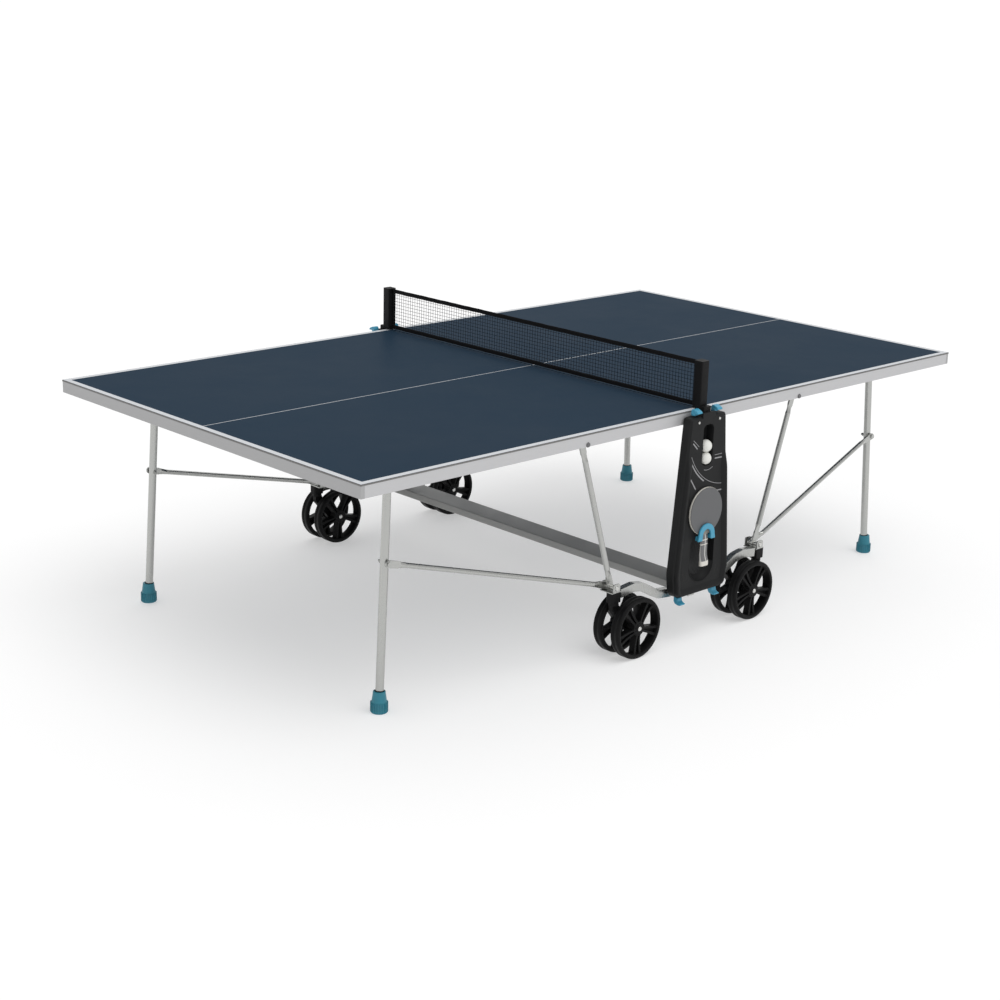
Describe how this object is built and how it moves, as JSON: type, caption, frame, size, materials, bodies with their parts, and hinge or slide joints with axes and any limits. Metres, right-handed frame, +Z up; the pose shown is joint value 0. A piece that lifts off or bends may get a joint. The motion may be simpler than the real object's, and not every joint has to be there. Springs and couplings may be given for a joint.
{
  "type": "folding table tennis table",
  "caption": "Folding outdoor table tennis table with net, twin-wheel casters, hinged leg frames and side panels that hold bats and balls",
  "frame": {"origin": "on the floor under the middle of the net", "axes": "+X along the length, +Y across, +Z up"},
  "size_m": [2.74, 1.643, 0.914],
  "materials": {
    "board_laminate": "dark blue resin laminate with silver border lines",
    "apron_metal": "satin grey coated profile",
    "zinc_steel": "bright zinc plated tube",
    "bolt_steel": "zinc plated bolts",
    "beam_paint": "grey painted beam",
    "black_plastic": "black moulded plastic",
    "wheel_plastic": "black moulded wheel",
    "panel_plastic": "charcoal textured plastic",
    "blue_plastic": "turquoise blue moulded plastic",
    "teal_plastic": "teal blue moulded plastic",
    "net_cord": "black knotted net",
    "net_tape": "black woven tape",
    "bat_wood": "grey stained blade and handle",
    "bat_rubber": "dark grey smooth rubber",
    "ball_plastic": "white ball"
  },
  "bodies": {
    "chassis": {"cross_beam": "beam_paint", "side_arms": "zinc_steel", "caster_housings": "black_plastic", "pivot_brackets": "zinc_steel", "pivot_bolts": "bolt_steel", "post_uprights": "zinc_steel", "side_panels": "panel_plastic", "bat_clips": "blue_plastic", "net_posts": "black_plastic", "net": "net_cord", "net_tapes": "net_tape"},
    "left_top": {"left_board": "board_laminate", "left_side_rails": "apron_metal", "left_end_rail": "apron_metal", "left_cross_bars": "apron_metal", "left_leg_brackets": "zinc_steel", "left_top_bolts": "bolt_steel"},
    "left_rocker": {"left_struts": "zinc_steel"},
    "left_link": {"left_links": "zinc_steel"},
    "left_leg": {"left_legs": "zinc_steel", "left_leg_tube": "zinc_steel", "left_feet": "teal_plastic"},
    "caster_near_left": {"caster_near_left": "black_plastic"},
    "wheel_near_left_inner": {"wheel_near_left_inner": "wheel_plastic"},
    "wheel_near_left_outer": {"wheel_near_left_outer": "wheel_plastic"},
    "catch_lever_near_left": {"catch_lever_near_left": "blue_plastic"},
    "release_tab_near_left": {"release_tab_near_left": "blue_plastic"},
    "caster_far_left": {"caster_far_left": "black_plastic"},
    "wheel_far_left_inner": {"wheel_far_left_inner": "wheel_plastic"},
    "wheel_far_left_outer": {"wheel_far_left_outer": "wheel_plastic"},
    "catch_lever_far_left": {"catch_lever_far_left": "blue_plastic"},
    "release_tab_far_left": {"release_tab_far_left": "blue_plastic"},
    "right_top": {"right_board": "board_laminate", "right_side_rails": "apron_metal", "right_end_rail": "apron_metal", "right_cross_bars": "apron_metal", "right_leg_brackets": "zinc_steel", "right_top_bolts": "bolt_steel"},
    "right_rocker": {"right_struts": "zinc_steel"},
    "right_link": {"right_links": "zinc_steel"},
    "right_leg": {"right_legs": "zinc_steel", "right_leg_tube": "zinc_steel", "right_feet": "teal_plastic"},
    "caster_near_right": {"caster_near_right": "black_plastic"},
    "wheel_near_right_inner": {"wheel_near_right_inner": "wheel_plastic"},
    "wheel_near_right_outer": {"wheel_near_right_outer": "wheel_plastic"},
    "catch_lever_near_right": {"catch_lever_near_right": "blue_plastic"},
    "release_tab_near_right": {"release_tab_near_right": "blue_plastic"},
    "caster_far_right": {"caster_far_right": "black_plastic"},
    "wheel_far_right_inner": {"wheel_far_right_inner": "wheel_plastic"},
    "wheel_far_right_outer": {"wheel_far_right_outer": "wheel_plastic"},
    "catch_lever_far_right": {"catch_lever_far_right": "blue_plastic"},
    "release_tab_far_right": {"release_tab_far_right": "blue_plastic"},
    "bat_near": {"bat_near": "bat_wood", "bat_near_rubbers": "bat_rubber"},
    "balls_near": {"balls_near": "ball_plastic"},
    "bat_far": {"bat_far": "bat_wood", "bat_far_rubbers": "bat_rubber"},
    "balls_far": {"balls_far": "ball_plastic"}
  },
  "joints": [
    {"name": "left_rocker_hinge", "type": "hinge", "parent": "chassis", "child": "left_rocker", "pos_m": [-0.348, 0, 0.237], "axis": [0, 1, 0], "range_deg": [0, 45.65]},
    {"name": "left_top_fold", "type": "hinge", "parent": "left_rocker", "child": "left_top", "pos_m": [-0.503, 0, 0.725], "axis": [0, 1, 0], "range_deg": [0, 44.38]},
    {"name": "left_leg_hinge", "type": "hinge", "parent": "left_top", "child": "left_leg", "pos_m": [-1.131, 0, 0.735], "axis": [0, 1, 0], "range_deg": [-72.7, 0]},
    {"name": "left_link_hinge", "type": "hinge", "parent": "chassis", "child": "left_link", "pos_m": [-0.348, 0, 0.237], "axis": [0, 1, 0], "range_deg": [0, 85.6]},
    {"name": "caster_near_left_swivel", "type": "hinge", "parent": "chassis", "child": "caster_near_left", "pos_m": [-0.348, -0.75, 0.2], "axis": [0, 0, 1], "continuous": true},
    {"name": "wheel_near_left_inner_spin", "type": "hinge", "parent": "caster_near_left", "child": "wheel_near_left_inner", "pos_m": [-0.28, -0.75, 0.1], "axis": [0, 1, 0], "continuous": true},
    {"name": "wheel_near_left_outer_spin", "type": "hinge", "parent": "caster_near_left", "child": "wheel_near_left_outer", "pos_m": [-0.28, -0.75, 0.1], "axis": [0, 1, 0], "continuous": true},
    {"name": "catch_lever_near_left_hinge", "type": "hinge", "parent": "chassis", "child": "catch_lever_near_left", "pos_m": [-0.0475, -0.779, 0.75], "axis": [-1, 0, 0], "range_deg": [0, 25]},
    {"name": "release_tab_near_left_hinge", "type": "hinge", "parent": "chassis", "child": "release_tab_near_left", "pos_m": [-0.083, -0.779, 0.15], "axis": [-1, 0, 0], "range_deg": [0, 8]},
    {"name": "caster_far_left_swivel", "type": "hinge", "parent": "chassis", "child": "caster_far_left", "pos_m": [-0.348, 0.75, 0.2], "axis": [0, 0, 1], "continuous": true},
    {"name": "wheel_far_left_inner_spin", "type": "hinge", "parent": "caster_far_left", "child": "wheel_far_left_inner", "pos_m": [-0.28, 0.75, 0.1], "axis": [0, 1, 0], "continuous": true},
    {"name": "wheel_far_left_outer_spin", "type": "hinge", "parent": "caster_far_left", "child": "wheel_far_left_outer", "pos_m": [-0.28, 0.75, 0.1], "axis": [0, 1, 0], "continuous": true},
    {"name": "catch_lever_far_left_hinge", "type": "hinge", "parent": "chassis", "child": "catch_lever_far_left", "pos_m": [-0.0475, 0.779, 0.75], "axis": [1, 0, 0], "range_deg": [0, 25]},
    {"name": "release_tab_far_left_hinge", "type": "hinge", "parent": "chassis", "child": "release_tab_far_left", "pos_m": [-0.083, 0.779, 0.15], "axis": [1, 0, 0], "range_deg": [0, 8]},
    {"name": "right_rocker_hinge", "type": "hinge", "parent": "chassis", "child": "right_rocker", "pos_m": [0.348, 0, 0.237], "axis": [0, -1, 0], "range_deg": [0, 45.65]},
    {"name": "right_top_fold", "type": "hinge", "parent": "right_rocker", "child": "right_top", "pos_m": [0.503, 0, 0.725], "axis": [0, -1, 0], "range_deg": [0, 44.38]},
    {"name": "right_leg_hinge", "type": "hinge", "parent": "right_top", "child": "right_leg", "pos_m": [1.131, 0, 0.735], "axis": [0, -1, 0], "range_deg": [-72.7, 0]},
    {"name": "right_link_hinge", "type": "hinge", "parent": "chassis", "child": "right_link", "pos_m": [0.348, 0, 0.237], "axis": [0, -1, 0], "range_deg": [0, 85.6]},
    {"name": "caster_near_right_swivel", "type": "hinge", "parent": "chassis", "child": "caster_near_right", "pos_m": [0.348, -0.75, 0.2], "axis": [0, 0, 1], "continuous": true},
    {"name": "wheel_near_right_inner_spin", "type": "hinge", "parent": "caster_near_right", "child": "wheel_near_right_inner", "pos_m": [0.28, -0.75, 0.1], "axis": [0, 1, 0], "continuous": true},
    {"name": "wheel_near_right_outer_spin", "type": "hinge", "parent": "caster_near_right", "child": "wheel_near_right_outer", "pos_m": [0.28, -0.75, 0.1], "axis": [0, 1, 0], "continuous": true},
    {"name": "catch_lever_near_right_hinge", "type": "hinge", "parent": "chassis", "child": "catch_lever_near_right", "pos_m": [0.0475, -0.779, 0.75], "axis": [-1, 0, 0], "range_deg": [0, 25]},
    {"name": "release_tab_near_right_hinge", "type": "hinge", "parent": "chassis", "child": "release_tab_near_right", "pos_m": [0.083, -0.779, 0.15], "axis": [-1, 0, 0], "range_deg": [0, 8]},
    {"name": "caster_far_right_swivel", "type": "hinge", "parent": "chassis", "child": "caster_far_right", "pos_m": [0.348, 0.75, 0.2], "axis": [0, 0, 1], "continuous": true},
    {"name": "wheel_far_right_inner_spin", "type": "hinge", "parent": "caster_far_right", "child": "wheel_far_right_inner", "pos_m": [0.28, 0.75, 0.1], "axis": [0, 1, 0], "continuous": true},
    {"name": "wheel_far_right_outer_spin", "type": "hinge", "parent": "caster_far_right", "child": "wheel_far_right_outer", "pos_m": [0.28, 0.75, 0.1], "axis": [0, 1, 0], "continuous": true},
    {"name": "catch_lever_far_right_hinge", "type": "hinge", "parent": "chassis", "child": "catch_lever_far_right", "pos_m": [0.0475, 0.779, 0.75], "axis": [1, 0, 0], "range_deg": [0, 25]},
    {"name": "release_tab_far_right_hinge", "type": "hinge", "parent": "chassis", "child": "release_tab_far_right", "pos_m": [0.083, 0.779, 0.15], "axis": [1, 0, 0], "range_deg": [0, 8]},
    {"name": "bat_near_lift", "type": "slide", "parent": "chassis", "child": "bat_near", "axis": [0, 0, 1], "range_m": [0, 0.068]},
    {"name": "balls_near_out", "type": "slide", "parent": "chassis", "child": "balls_near", "axis": [0, -1, 0], "range_m": [0, 0.05]},
    {"name": "bat_far_lift", "type": "slide", "parent": "chassis", "child": "bat_far", "axis": [0, 0, 1], "range_m": [0, 0.068]},
    {"name": "balls_far_out", "type": "slide", "parent": "chassis", "child": "balls_far", "axis": [0, 1, 0], "range_m": [0, 0.05]}
  ],
  "couplings": [
    {"joint": "left_rocker_hinge", "follows": "left_top_fold", "ratio": 1.028},
    {"joint": "left_leg_hinge", "follows": "left_top_fold", "ratio": -1.6373},
    {"joint": "left_link_hinge", "follows": "left_top_fold", "ratio": 1.928},
    {"joint": "right_rocker_hinge", "follows": "right_top_fold", "ratio": 1.028},
    {"joint": "right_leg_hinge", "follows": "right_top_fold", "ratio": -1.6373},
    {"joint": "right_link_hinge", "follows": "right_top_fold", "ratio": 1.928}
  ]
}
